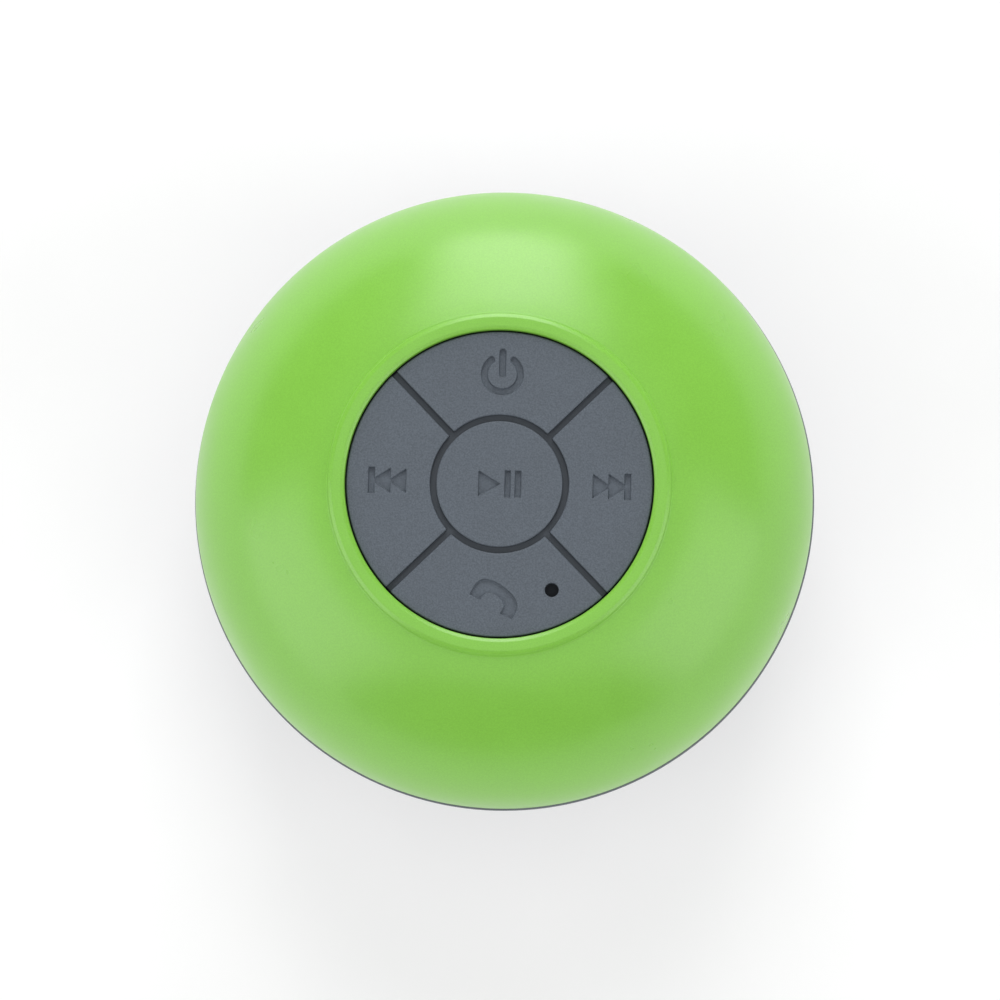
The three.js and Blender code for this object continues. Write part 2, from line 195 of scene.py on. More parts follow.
def add_lathe(bm, profile, segments=192):
    """Turns a closed profile of (radius, height) about Z, or one that starts and ends on the axis."""
    rings = []
    for r, z in profile:
        if r < 1e-6:
            rings.append([bm.verts.new((0, 0, z))])
            continue
        angles = [2 * math.pi * i / segments for i in range(segments)]
        rings.append([bm.verts.new((r * math.cos(a), r * math.sin(a), z)) for a in angles])
    closed = profile[0][0] > 1e-6
    pairs = list(zip(rings, rings[1:])) + ([(rings[-1], rings[0])] if closed else [])
    for low, high in pairs:
        for i in range(segments):
            j = (i + 1) % segments
            corner = [low[i % len(low)], low[j % len(low)], high[j % len(high)], high[i % len(high)]]
            distinct = list(dict.fromkeys(corner))
            if len(distinct) > 2:
                bm.faces.new(distinct)


def fillet(profile, closed=True, steps=5):
    """A profile whose points are (radius, height) or (radius, height, fillet radius)."""
    made = []
    count = len(profile)
    for i, here in enumerate(profile):
        p = Vector(here[:2])
        size = here[2] if len(here) > 2 else 0
        if not size or (not closed and i in (0, count - 1)):
            made.append(tuple(p))
            continue
        before = Vector(profile[i - 1][:2]) - p
        after = Vector(profile[(i + 1) % count][:2]) - p
        turn = math.pi - before.angle(after)
        reach = min(size * math.tan(turn / 2), before.length * 0.49, after.length * 0.49)
        a = p + before.normalized() * reach
        b = p + after.normalized() * reach
        for k in range(steps + 1):
            t = k / steps
            made.append(tuple(a * (1 - t) ** 2 + p * 2 * t * (1 - t) + b * t * t))
    return made


def fill(bm, outer, holes, z, up=True, slot=0):
    """A flat face at height z inside the outline and outside the holes, made of triangles."""
    loops = [outer, *holes]
    points = [Vector(p) for loop in loops for p in loop]
    edges = []
    first = 0
    for loop in loops:
        edges += [(first + i, first + (i + 1) % len(loop)) for i in range(len(loop))]
        first += len(loop)
    found, _, faces, *_ = delaunay_2d_cdt(points, edges, [], 0, 1e-6)
    verts = [bm.verts.new((p.x, p.y, z)) for p in found]
    for face in faces:
        centre = sum((found[i] for i in face), Vector((0, 0))) / len(face)
        if inside(centre, outer) and not any(inside(centre, hole) for hole in holes):
            bm.faces.new([verts[i] for i in (face if up else reversed(face))]).material_index = slot


def inside(point, outline):
    hit = False
    for (x0, y0), (x1, y1) in zip(outline, outline[1:] + outline[:1]):
        if (y0 > point[1]) != (y1 > point[1]):
            if point[0] < (x1 - x0) * (point[1] - y0) / (y1 - y0) + x0:
                hit = not hit
    return hit


def wall(bm, outline, steps, slot=0):
    """A band of faces down a wall. Steps are (offset, height), and the last loop is returned."""
    loops = [[(*p, z) for p in offset(outline, d)] for d, z in steps]
    rows = [[bm.verts.new(p) for p in loop] for loop in loops]
    for upper, lower in zip(rows, rows[1:]):
        for i in range(len(upper)):
            j = (i + 1) % len(upper)
            bm.faces.new([upper[i], lower[i], lower[j], upper[j]]).material_index = slot
    return [p[:2] for p in loops[-1]]


def plate(bm, outer, top, bottom, edge, sunk=(), through=()):
    """A flat plate with a rounded upper edge, sunk shapes with floors, and holes right through."""
    rim = [(-edge, top), (-edge * 0.55, top - edge * 0.1), (-edge * 0.22, top - edge * 0.3), (0, top - edge)]
    soft = 0.1
    face_holes = []
    for shape in sunk:
        lip = [(soft, top), (soft * 0.35, top - soft * 0.3), (0, top - soft)]
        low = top - GLYPH_DEPTH
        base = [(-0.04, low + soft), (-0.08, low + 0.02), (-soft * 1.4, low)]
        wall(bm, shape, lip)
        floor_loop = wall(bm, shape, [lip[-1], *base], slot=1)
        fill(bm, floor_loop, [], low, slot=1)
        face_holes.append(offset(shape, soft))
    for shape in through:
        wall(bm, shape, [(soft, top), (soft * 0.35, top - soft * 0.3), (0, top - soft), (0, bottom)])
        face_holes.append(offset(shape, soft))
    fill(bm, offset(outer, -edge), face_holes, top)
    wall(bm, outer, [*rim, (0, bottom)])
    fill(bm, outer, list(through), bottom, up=False)


def gather(shapes, slot=0):
    """One bmesh from several, with all their faces in that material slot."""
    whole = bmesh.new()
    for shape in shapes:
        scratch = bpy.data.meshes.new("scratch")
        bmesh.ops.recalc_face_normals(shape, faces=shape.faces)
        shape.to_mesh(scratch)
        shape.free()
        whole.from_mesh(scratch)
        bpy.data.meshes.remove(scratch)
    for face in whole.faces:
        face.material_index = slot
    return whole


def cut(target, cutters, operation="DIFFERENCE"):
    """Applies booleans to target, with cutters given as bmeshes in millimetres."""
    tool = gather(cutters)
    bmesh.ops.scale(tool, vec=(MM, MM, MM), verts=tool.verts)
    mesh = bpy.data.meshes.new("cutter")
    tool.to_mesh(mesh)
    tool.free()
    other = bpy.data.objects.new("cutter", mesh)
    bpy.context.scene.collection.objects.link(other)
    boolean = target.modifiers.new("cut", "BOOLEAN")
    boolean.operation = operation
    boolean.solver = "EXACT"
    boolean.use_self = len(cutters) > 1
    boolean.object = other
    apply_modifiers(target)
    bpy.data.objects.remove(other)


def apply_modifiers(target):
    depsgraph = bpy.context.evaluated_depsgraph_get()
    depsgraph.update()
    mesh = bpy.data.meshes.new_from_object(target.evaluated_get(depsgraph))
    target.modifiers.clear()
    target.data = mesh


def prism(outline, z0, z1):
    """A straight prism over an outline, as a bmesh."""
    bm = bmesh.new()
    low = [bm.verts.new((x, y, z0)) for x, y in outline]
    high = [bm.verts.new((x, y, z1)) for x, y in outline]
    for i in range(len(outline)):
        j = (i + 1) % len(outline)
        bm.faces.new([low[i], low[j], high[j], high[i]])
    bm.faces.new(list(reversed(low)))
    bm.faces.new(high)
    return bm


def solid(profile, segments=192):
    bm = bmesh.new()
    add_lathe(bm, profile, segments)
    return bm


# ---------------------------------------------------------------- materials


class Surface:
    """A node material on Principled BSDF, whose colour and relief vary in the frame's own coordinates."""

    def __init__(self, name, roughness, metallic=0.0, **sockets):
        self.material = bpy.data.materials.new(name)
        self.material.use_nodes = True
        self.tree = self.material.node_tree
        self.shader = next(n for n in self.tree.nodes if n.type == "BSDF_PRINCIPLED")
        self.shader.inputs["Roughness"].default_value = roughness
        self.shader.inputs["Metallic"].default_value = metallic
        for socket, value in sockets.items():
            self.shader.inputs[socket.replace("_", " ")].default_value = value
        self.place = self.tree.nodes.new("ShaderNodeTexCoord").outputs["Object"]
        self.height = None

    def link(self, a, b):
        self.tree.links.new(a, b)

    def noise(self, size_mm, detail=2.0, rough=0.5, stretch=None):
        node = self.tree.nodes.new("ShaderNodeTexNoise")
        node.inputs["Scale"].default_value = 1 / (size_mm * MM)
        node.inputs["Detail"].default_value = detail
        node.inputs["Roughness"].default_value = rough
        place = self.place
        if stretch:
            mapping = self.tree.nodes.new("ShaderNodeMapping")
            mapping.inputs["Scale"].default_value = stretch
            self.link(place, mapping.inputs["Vector"])
            place = mapping.outputs["Vector"]
        self.link(place, node.inputs["Vector"])
        return node.outputs["Fac"]

    def ramp(self, value, stops):
        """Maps a value to colours. Stops are (position, colour)."""
        node = self.tree.nodes.new("ShaderNodeValToRGB")
        points = node.color_ramp.elements
        while len(points) < len(stops):
            points.new(0.5)
        for point, (position, colour) in zip(points, stops):
            point.position = position
            point.color = (*colour, 1)
        self.link(value, node.inputs["Fac"])
        return node.outputs["Color"]

    def mix(self, a, b, factor, kind="MIX"):
        node = self.tree.nodes.new("ShaderNodeMix")
        node.data_type = "RGBA"
        node.blend_type = kind
        colours = [s for s in node.inputs if s.type == "RGBA"]
        for socket, value in zip(colours, (a, b)):
            if hasattr(value, "is_output"):
                self.link(value, socket)
            else:
                socket.default_value = (*value, 1)
        if hasattr(factor, "is_output"):
            self.link(factor, node.inputs["Factor"])
        else:
            node.inputs["Factor"].default_value = factor
        return next(s for s in node.outputs if s.type == "RGBA")

    def colour(self, value):
        self.link(value, self.shader.inputs["Base Color"])
        return self

    def roughness(self, value, low, high):
        node = self.tree.nodes.new("ShaderNodeMapRange")
        node.inputs["To Min"].default_value = low
        node.inputs["To Max"].default_value = high
        node.inputs["From Min"].default_value = 0.3
        node.inputs["From Max"].default_value = 0.7
        self.link(value, node.inputs["Value"])
        self.link(node.outputs["Result"], self.shader.inputs["Roughness"])
        return self

    def bump(self, value, height_mm, strength=1.0):
        """Adds relief of that height. Several calls add up."""
        node = self.tree.nodes.new("ShaderNodeBump")
        node.inputs["Strength"].default_value = strength
        node.inputs["Distance"].default_value = height_mm * MM
        self.link(value, node.inputs["Height"])
        if self.height:
            self.link(self.height, node.inputs["Normal"])
        self.height = node.outputs["Normal"]
        self.link(self.height, self.shader.inputs["Normal"])
        return self


def srgb(r, g, b):
    """Linear colour from 8-bit display values."""

    def one(v):
        v /= 255
        return v / 12.92 if v <= 0.04045 else ((v + 0.055) / 1.055) ** 2.4

    return (one(r), one(g), one(b))


def shade(colour, k):
    return tuple(c * k for c in colour)


def moulded(name, colour, roughness, grain_mm=0.12, relief=0.006, spread=0.06, speckle=0.1, **sockets):
    """Moulded plastic or rubber: a fine grained skin, faint cloudiness and an uneven sheen."""
    s = Surface(name, roughness, **sockets)
    cloud = s.noise(9, 3, 0.55)
    grain = s.noise(grain_mm, 2, 0.6)
    base = s.ramp(cloud, [(0.3, shade(colour, 1 - spread)), (0.7, shade(colour, 1 + spread))])
    fine = s.ramp(grain, [(0.35, shade((1, 1, 1), 1 - speckle)), (0.65, (1, 1, 1))])
    s.colour(s.mix(base, fine, 1.0, "MULTIPLY"))
    s.roughness(cloud, roughness - 0.04, roughness + 0.04)
    s.bump(grain, relief)
    return s


def metal(name, colour, roughness, along=(1, 1, 1), relief=0.002):
    """Plated or drawn metal with fine lines and a little tarnish."""
    s = Surface(name, roughness, 1.0)
    lines = s.noise(0.15, 3, 0.6, stretch=along)
    cloud = s.noise(4, 3, 0.5)
    s.colour(s.ramp(cloud, [(0.3, shade(colour, 0.88)), (0.7, colour)]))
    s.roughness(lines, roughness - 0.07, roughness + 0.1)
    s.bump(lines, relief)
    return s


GREEN = (0.222, 0.544, 0.059)
GREY = (0.102, 0.123, 0.15)

cover_paint = moulded(
    "cover_paint", GREEN, 0.31, grain_mm=0.2, relief=0.005, spread=0.02, Specular_IOR_Level=0.6
)
cover_paint.bump(cover_paint.noise(1.6, 2, 0.5), 0.004)
key_silicone = moulded("key_silicone", GREY, 0.62, grain_mm=0.22, relief=0.045, spread=0.04, speckle=0.32)
icon_silicone = moulded("icon_silicone", GREY, 0.66, grain_mm=0.22, relief=0.03, spread=0.04, speckle=0.24)
# The groove floors, web and skirt are the keys' own grey silicone, darkened to 0.44 as painted shade for the
# narrow grooves.
groove_silicone_painted_shade = moulded("groove_silicone_painted_shade", shade(GREY, 0.44), 0.68, grain_mm=0.14, relief=0.02, spread=0.03)
shell_plastic = moulded("shell_plastic", srgb(106, 111, 117), 0.5, grain_mm=0.2, relief=0.01, spread=0.03)
cup_silicone = moulded(
    "cup_silicone", srgb(98, 103, 110), 0.36, grain_mm=0.6, relief=0.004, spread=0.04, Coat_Weight=0.15
)
cup_silicone.bump(cup_silicone.noise(3, 2, 0.5), 0.01)
spigot_plastic = moulded("spigot_plastic", srgb(74, 80, 88), 0.42, grain_mm=0.25, relief=0.008)
black_rubber = moulded("black_rubber", (0.012, 0.012, 0.014), 0.6, grain_mm=0.2, relief=0.01)
black_plastic = moulded("black_plastic", (0.016, 0.016, 0.018), 0.5, grain_mm=0.25, relief=0.01)
white_plastic = moulded("white_plastic", (0.72, 0.72, 0.68), 0.45, grain_mm=0.3, relief=0.005)
steel = metal("plated_steel", (0.62, 0.63, 0.65), 0.3)
screw_steel = metal("screw_steel", (0.52, 0.53, 0.55), 0.34)

# ---------------------------------------------------------------- shells


def dome(radius, height, start, end, steps):
    """The round-over of a shell, between two angles from the crown."""
    angles = [math.radians(start + (end - start) * i / steps) for i in range(steps + 1)]
    reach = radius - CENTRE_R
    return [(CENTRE_R + reach * math.sin(a), EQUATOR_Z + height * math.cos(a)) for a in angles]


def angle_at(radius, r):
    return math.degrees(math.asin((r - CENTRE_R) / (radius - CENTRE_R)))


def make_cover():
    opening = 20.64
    outside = dome(COVER_R, 25.95, angle_at(COVER_R, 23.25), 90, 60)
    inside_wall = dome(COVER_R - 2, 23.5, 90, angle_at(COVER_R - 2, opening + 1), 30)
    crease = outside[0]
    bead = fillet(
        [
            (opening + 0.2, 51.3),
            (opening, TOP_Z - 1.2, 0.2),
            (opening + 0.04, TOP_Z - 0.25, 0.3),
            (opening + 0.55, TOP_Z - 0.01, 0.5),
            (22.35, TOP_Z, 0.5),
            (22.85, TOP_Z - 0.3, 0.4),
            (23.05, crease[1] + 0.06, 0.25),
            crease,
        ],
        closed=False,
        steps=7,
    )
    rim = [(COVER_R, 27.9), (COVER_R - 0.15, 27.75), (COVER_R - 2, 27.75)]
    bm = solid(bead[:-1] + outside + rim + inside_wall, 288)
    piece("cover_shell", bm, "housing", cover_paint.material, "cover_green", ["top_cover"])


make_cover()

BASE_R = 42.3


def bowl(radius, height, start, end, steps):
    return dome(radius, -height, start, end, steps)


BASE_OUTSIDE = [(0, 9.0), *bowl(BASE_R, 19, 0, 80, 48)]
BASE_FLANGE = fillet(
    [(42.0, 25.0), (42.35, 25.55, 0.3), (43.0, 25.8, 0.25), (43.0, 27.45, 0.3), (42.1, 27.45)], closed=False
)


def base_solid(shrink=0.0):
    """The full bowl, closed across its top, moved in by shrink."""
    outside = [(max(0, r - shrink * r / 42), z + shrink) for r, z in BASE_OUTSIDE]
    return solid([*outside, *[(r - shrink, z) for r, z in BASE_FLANGE], (0, 27.45)])


def rounded_box(x0, y0, x1, y1, r):
    return round_corners([(x0, y0), (x1, y0), (x1, y1), (x0, y1)], r, 8)


def upright(bm):
    """Turns a prism made over X and Z so that its depth runs along Y."""
    bmesh.ops.transform(bm, matrix=Matrix(((1, 0, 0), (0, 0, 1), (0, 1, 0))).to_4x4(), verts=bm.verts)
    return bm


def sideways(bm):
    """Turns a prism made over Y and Z so that its depth runs along X."""
    bmesh.ops.transform(bm, matrix=Matrix(((0, 0, 1), (1, 0, 0), (0, 1, 0))).to_4x4(), verts=bm.verts)
    return bm


def make_base():
    inside_wall = bowl(BASE_R - 2, 17, 82, 0, 24)
    profile = [*BASE_OUTSIDE, *BASE_FLANGE, (42.1, 26.5), (40.9, 26.5), (40.9, 27.45), (40.3, 27.45)]
    profile += [(40.3, 29.9), (38.9, 29.9), *inside_wall, (0, 11)]
    bm = solid(profile)
    made = piece("base_bowl", bm, "housing", shell_plastic.material, "shell_grey", ["base_shell"])
    made.modifiers.clear()
    # the port's block, the cup socket and the screw posts stand inside the bowl
    posts = [prism(circle(0, 0, 7.7, 64), 10.2, 16.4)]
    for angle in POST_ANGLES:
        posts.append(prism(circle(*polar(POST_R, angle), 3.6, 40), 12.6, 17.5))
    cut(made, posts, "UNION")
    bowl_side = [(-37.6, 18.2), (-38.5, 19.2), (-39.5, 21), (-40.1, 22), (-40.6, 23.5), (-40.6, 25.3)]
    block = [(-37.2, 18.2), *bowl_side, (-37.2, 25.3)]
    cut(made, [sideways(prism(block, -8, 8))], "UNION")
    cutters = [solid([(0, 8), (6.4, 8), (6.4, 9), (6.0, 9.4), (6.0, 15.4), (0, 15.4)], 96)]
    cutters.append(upright(prism(rounded_box(-6.4, 19.2, 6.4, 25.2, 0.9), -46, PORT_FACE_Y)))
    cutters.append(upright(prism(rounded_box(-4.1, 20.6, 4.1, 23.8, 0.5), PORT_FACE_Y - 1, -34)))
    for angle in range(0, 360, 15):
        if angle in POST_ANGLES:
            cutters.append(prism(circle(*polar(POST_R, angle), 2.9, 48), 6, 14))
            continue
        slot = moved(stadium(28.6, 0, 32.4, 0, 1.1, 10), 0, 0, angle)
        cutters.append(prism(slot, 7, 16))
    cut(made, cutters)
    smooth(made, 32)


make_base()

# ---------------------------------------------------------------- keypad


def triangle_pair():
    """The previous icon: a bar and two triangles that run into each other, centred on its middle."""
    bar, half = 0.85, 1.75
    first, second = 2.98, 5.07
    slope = 0.68
    touch = slope * (bar - 0.43)
    merge = slope * (first - 2.69)
    upper = [
        (second, 1.64),
        (first, merge),
        (first, 1.7),
        (bar, touch),
        (bar, half),
        (0, half),
    ]
    lower = [(x, -y) for x, y in reversed(upper)]
    return [(x - second / 2, y) for x, y in lower + upper]


HANDSET_BACK = [
    (-3.56, -14.83), (-3.09, -13.93), (-2.64, -13.28), (-2.0, -12.86), (-1.27, -12.82), (-0.37, -13.05),
    (0.53, -13.48), (1.43, -14.13), (2.23, -14.89), (2.71, -15.77), (2.77, -16.55), (2.52, -17.33),
    (2.07, -18.03),
]
HANDSET_INSIDE = [
    (0.54, -17.3), (0.93, -16.7), (1.03, -16.09), (0.72, -15.48), (0.11, -14.93), (-0.52, -14.63),
    (-1.12, -14.58), (-1.67, -14.84), (-2.21, -15.56),
]


def curve(points, steps=4):
    """Points on a smooth curve through points, ends included."""
    p = [Vector(q) for q in points]
    p = [p[0] * 2 - p[1], *p, p[-1] * 2 - p[-2]]
    made = []
    for a, b, c, d in zip(p, p[1:], p[2:], p[3:]):
        for k in range(steps):
            t = k / steps
            square = 2 * a - 5 * b + 4 * c - d
            cube = 3 * b - a - 3 * c + d
            made.append(tuple(0.5 * (2 * b + (c - a) * t + square * t**2 + cube * t**3)))
    return [*made, tuple(p[-2])]


def handset():
    """The call icon: a curved handset, thick at the back and cut square at both ends."""
    return list(reversed(curve(HANDSET_BACK) + curve(HANDSET_INSIDE)))


def power_icon():
    """The power icon: a ring open at the top, with round ends, and a bar in the gap."""
    middle, half = 2.405, 0.435
    right, left = 52.5, 127.5  # where the ring's ends lie
    ring = arc(0, 0, middle + half, left, right + 360, 72)
    ring += arc(*polar(middle, right), half, right, right + 180, 8)[1:-1]
    ring += arc(0, 0, middle - half, right + 360, left, 60)
    ring += arc(*polar(middle, left), half, left + 180, left + 360, 8)[1:-1]
    return [ring, stadium(0, -0.05, 0, 2.95, 0.44)]


def bar(x0, x1, half):
    return round_corners([(x0, -half), (x1, -half), (x1, half), (x0, half)], 0.08, 3)


ICONS = {
    "play": [
        round_corners([(-2.81, -1.72), (0.12, 0), (-2.81, 1.72)], 0.08, 3),
        bar(0.7, 1.48, 1.8),
        bar(2.06, 2.88, 1.8),
    ],
    "power": [moved(shape, 0, 14.75) for shape in power_icon()],
    "previous": [moved(round_corners(triangle_pair(), 0.07, 3), -15.0, 0.1)],
    "next": [moved(round_corners(mirrored(triangle_pair()), 0.07, 3), 15.0, 0.0)],
    "call": [round_corners(handset(), 0.08, 3)],
}


def sector(angle, grow=0.0):
    """Outline of an outer key between the centre groove and the keypad's edge."""
    inner = CENTRE_KEY_R + GROOVE - grow
    outer = KEYPAD_R + grow
    half_groove = GROOVE / 2 - grow
    span_in = 45 - math.degrees(math.asin(half_groove / inner))
    span_out = 45 - math.degrees(math.asin(half_groove / outer))
    outline = arc(0, 0, outer, angle - span_out, angle + span_out, 72)
    outline += arc(0, 0, inner, angle + span_in, angle - span_in, 36)
    return round_corners(outline, 0.28, 4)


KEY_ANGLES = {"next": 0, "power": 90, "previous": 180, "call": 270}


def key_centre(name):
    return polar(OUTER_KEY_R, KEY_ANGLES[name]) if name in KEY_ANGLES else (0, 0)


def make_keys():
    for name, shapes in ICONS.items():
        bm = bmesh.new()
        outline = circle(0, 0, CENTRE_KEY_R, 144) if name == "play" else sector(KEY_ANGLES[name])
        through = [circle(*MIC, 0.93, 40)] if name == "call" else []
        plate(bm, outline, KEY_TOP_Z, KEY_TOP_Z - 1.5, 0.2, sunk=shapes, through=through)
        low, high = 49.55, KEY_TOP_Z - 1.5
        nub = circle(*key_centre(name), 1.6, 32)
        wall(bm, nub, [(0, high), (0, low + 0.2), (-0.2, low)])
        fill(bm, offset(nub, -0.2), [], low, up=False)
        stands_for = [f"key_{name}"]
        made = (f"button_{name}", bm, f"key_{name}", key_silicone.material, "keypad_silicone", stands_for)
        piece(*made, sharp=55, second=icon_silicone.material)


make_keys()


def make_web():
    """The static part of the keypad: groove floors, the web below them and the skirt on the board."""
    clear = 0.03
    bm = bmesh.new()
    half = GROOVE / 2 - clear
    inner = CENTRE_KEY_R + GROOVE - clear
    outline = []
    for i in range(4):
        spoke = 45 + 90 * i
        span = 45 - math.degrees(math.asin(half / inner))
        outline += arc(0, 0, inner, spoke - 45 - span, spoke - 45 + span, 24)
        along = Vector((math.cos(math.radians(spoke)), math.sin(math.radians(spoke))))
        side = Vector((along.y, -along.x))
        tip = along * (KEYPAD_R - 0.1)
        outline += [tuple(tip + side * half), tuple(tip - side * half)]
    hole = circle(0, 0, CENTRE_KEY_R + clear, 120)
    fill(bm, outline, [hole], GROOVE_FLOOR_Z)
    wall(bm, outline, [(0, GROOVE_FLOOR_Z), (0, 50.8)])
    wall(bm, hole, [(0, GROOVE_FLOOR_Z), (0, 50.8)])
    add_lathe(bm, [(0, 50.2), (20.3, 50.2), (20.3, 46.95), (21.6, 46.95), (21.6, 50.8), (0, 50.8)], 144)
    stands_for = ["keypad_membrane"]
    piece("keypad_web", bm, "housing", groove_silicone_painted_shade.material, "keypad_silicone", stands_for, sharp=40)


make_web()

# ---------------------------------------------------------------- charging port


def make_port_cover():
    bm = base_solid(0.02)
    made = piece("port_flap", bm, "port_cover", shell_plastic.material, "keypad_silicone", ["usb_port_cover"])
    made.modifiers.clear()
    cut(made, [upright(prism(rounded_box(-6.05, 19.55, 6.05, 24.85, 0.75), -46, -38.7))], "INTERSECT")
    tongue = upright(prism(rounded_box(-3.6, 21.0, 3.6, 23.1, 0.5), -39.2, -37.3))
    strap = upright(prism(rounded_box(-3, 19.1, 3, 20.2, 0.1), -40.2, -39.1))
    barrel = sideways(prism(circle(-40, 19.2, 0.42, 24), -3, 3))
    for shape in (tongue, strap, barrel):
        cut(made, [shape], "UNION")
    made.data.materials.clear()
    made.data.materials.append(key_silicone.material)
    bevel = made.modifiers.new("bevel", "BEVEL")
    bevel.width = 0.25 * MM
    bevel.segments = 3
    bevel.limit_method = "ANGLE"
    bevel.angle_limit = math.radians(50)
    smooth(made, 50)


make_port_cover()

# ---------------------------------------------------------------- suction cup


def make_spigot():
    profile = fillet(
        [
            (0, 3.5),
            (4.2, 3.5, 0.2),
            (4.2, 4.2, 0.2),
            (3.2, 4.6, 0.2),
            (3.2, 7.3, 0.15),
            (9.0, 7.3, 0.35),
            (9.0, 8.7, 0.35),
            (5.3, 8.7, 0.2),
            (5.3, 11.6, 0.3),
            (5.65, 12.4, 0.3),
            (5.3, 13.2, 0.3),
            (5.3, 14.6, 0.3),
            (4.8, 15.1, 0.2),
            (0, 15.1),
        ],
        closed=False,
    )
    bm = solid(profile, 128)
    piece("cup_stem", bm, "cup_spigot", spigot_plastic.material, "spigot_plastic", ["cup_spigot"])


make_spigot()


def make_cup():
    under = [(0, 2.1), (3, 2.08), (8, 1.98), (14, 1.7), (20, 1.12), (24, 0.62), (26, 0.36)]
    profile = fillet(
        [
            *under,
            (27.5, 0.0, 0.5),
            (29.0, 0.0, 0.25),
            (29.0, 0.8, 0.3),
            (27.2, 1.45, 3),
            (22, 3.0, 6),
            (14, 4.6, 5),
            (9.6, 5.8, 2),
            (8.6, 7.0, 0.5),
            (3.6, 7.0, 0.2),
            (3.6, 4.9),
            (4.6, 4.5),
            (4.6, 3.2),
            (0, 3.2),
        ],
        closed=False,
    )
    bm = solid(profile, 224)
    made = piece("cup_bell", bm, "suction_cup", cup_silicone.material, "cup_silicone", ["suction_cup"])
    made.modifiers.clear()
    tab = arc(30, 0, 4, -90, 90, 32) + [(26.6, 4), (26.6, -4)]
    bm = bmesh.new()
    plate(bm, tab, 1.5, 0.3, 0.25)
    bmesh.ops.remove_doubles(bm, verts=bm.verts, dist=1e-4)
    cut(made, [bm], "UNION")
    ribs = [prism(stadium(x, -2.2, x, 2.2, 0.28, 6), 1.3, 1.72) for x in (30.4, 31.5, 32.6)]
    cut(made, ribs, "UNION")
    smooth(made, 40)


make_cup()

# ---------------------------------------------------------------- materials of the pieces inside


def soften(node, width_mm, angle=35):
    """Rounds the edges of a CAD piece a little."""
    bevel = nodes[node].modifiers.new("soft_edges", "BEVEL")
    bevel.width = width_mm * MM
    bevel.segments = 2
    bevel.limit_method = "ANGLE"
    bevel.angle_limit = math.radians(angle)


def dress(node, surface, bevel_mm=0.0):
    mesh = nodes[node].data
    mesh.materials.clear()
    mesh.materials.append(surface.material)
    if bevel_mm:
        soften(node, bevel_mm)


def circuit_board(name):
    s = Surface(name, 0.34)
    cells = s.tree.nodes.new("ShaderNodeTexBrick")
    cells.inputs["Scale"].default_value = 320
    cells.inputs["Mortar Size"].default_value = 0.03
    cells.inputs["Color1"].default_value = (0.01, 0.11, 0.045, 1)
    cells.inputs["Color2"].default_value = (0.008, 0.085, 0.036, 1)
    cells.inputs["Mortar"].default_value = (0.02, 0.19, 0.08, 1)
    s.link(s.place, cells.inputs["Vector"])
    cloud = s.noise(5, 3)
    shadow = s.ramp(cloud, [(0.3, (0.8, 0.8, 0.8)), (0.7, (1, 1, 1))])
    s.colour(s.mix(cells.outputs["Color"], shadow, 0.6, "MULTIPLY"))
    s.bump(cells.outputs["Fac"], 0.02)
    return s


def woven(name, colour, pitch_mm, relief):
    s = Surface(name, 0.85)
    waves = []
    for axis in ("X", "Y"):
        wave = s.tree.nodes.new("ShaderNodeTexWave")
        wave.bands_direction = axis
        wave.inputs["Scale"].default_value = 1 / (pitch_mm * MM) / 3.14
        s.link(s.place, wave.inputs["Vector"])
        waves.append(wave.outputs["Fac"])
    both = s.mix(waves[0], waves[1], 0.5)
    s.colour(s.ramp(both, [(0.2, shade(colour, 0.35)), (0.8, colour)]))
    s.bump(both, relief)
    return s


def pulp(name):
    s = Surface(name, 0.9)
    fibres = s.noise(0.6, 6, 0.7)
    s.colour(s.ramp(fibres, [(0.3, (0.012, 0.012, 0.013)), (0.7, (0.03, 0.03, 0.032))]))
    s.bump(fibres, 0.05)
    return s


def winding(name):
    s = Surface(name, 0.3, 1.0)
    wave = s.tree.nodes.new("ShaderNodeTexWave")
    wave.bands_direction = "Z"
    wave.inputs["Scale"].default_value = 1 / (0.18 * MM) / 3.14
    s.link(s.place, wave.inputs["Vector"])
    s.colour(s.ramp(wave.outputs["Fac"], [(0.2, (0.3, 0.1, 0.03)), (0.7, (0.75, 0.32, 0.13))]))
    s.bump(wave.outputs["Fac"], 0.05)
    return s


board_mask = circuit_board("board_mask")
spider_cloth = woven("spider_cloth", (0.2, 0.1, 0.035), 0.5, 0.05)
mesh_cloth = woven("mesh_cloth", (0.04, 0.042, 0.046), 0.4, 0.08)
cone_pulp = pulp("cone_pulp")
coil_wire = winding("coil_wire")
ferrite = moulded("ferrite", (0.03, 0.03, 0.032), 0.55, grain_mm=0.3, relief=0.02)
red_lead = moulded("red_lead", (0.42, 0.015, 0.01), 0.4, grain_mm=0.4, relief=0.004)
cell_foil = metal("cell_foil", (0.5, 0.51, 0.52), 0.38, along=(1, 6, 1), relief=0.01)
contact_gold = metal("contact_gold", (0.8, 0.55, 0.22), 0.28)

# ---------------------------------------------------------------- driver, gaskets and small turned pieces


def wavy(r0, r1, z0, z1, thickness, waves, height, sag=0.0, steps=72):
    """Profile of a corrugated cone between two radii."""
    lower = []
    for i in range(steps + 1):
        t = i / steps
        z = z0 + (z1 - z0) * t - sag * math.sin(math.pi * t) + height * math.sin(2 * math.pi * waves * t)
        lower.append((r0 + (r1 - r0) * t, z))
    return lower + [(r, z + thickness) for r, z in reversed(lower)]


def roll_profile():
    """Profile of the rubber half roll between the cone and the basket, highest at the cone."""
    inner, outer, edge_z, rise = 15.05, 17.1, 20.62, 0.45
    lower = [(inner, edge_z), *arc(16.08, edge_z, 0.95, 180, 360, 20), (outer, edge_z)]
    lower = [(r, edge_z + (z - edge_z) * 0.39 + rise * (outer - r) / (outer - inner)) for r, z in lower]
    return lower + [(r, z + 0.25) for r, z in reversed(lower)]


def cap_profile():
    lower = [(0.4 * i, 22.6 + 1.9 * (i / 16) ** 2) for i in range(17)]
    return lower + [(r * 0.94, z + 0.35) for r, z in reversed(lower)]


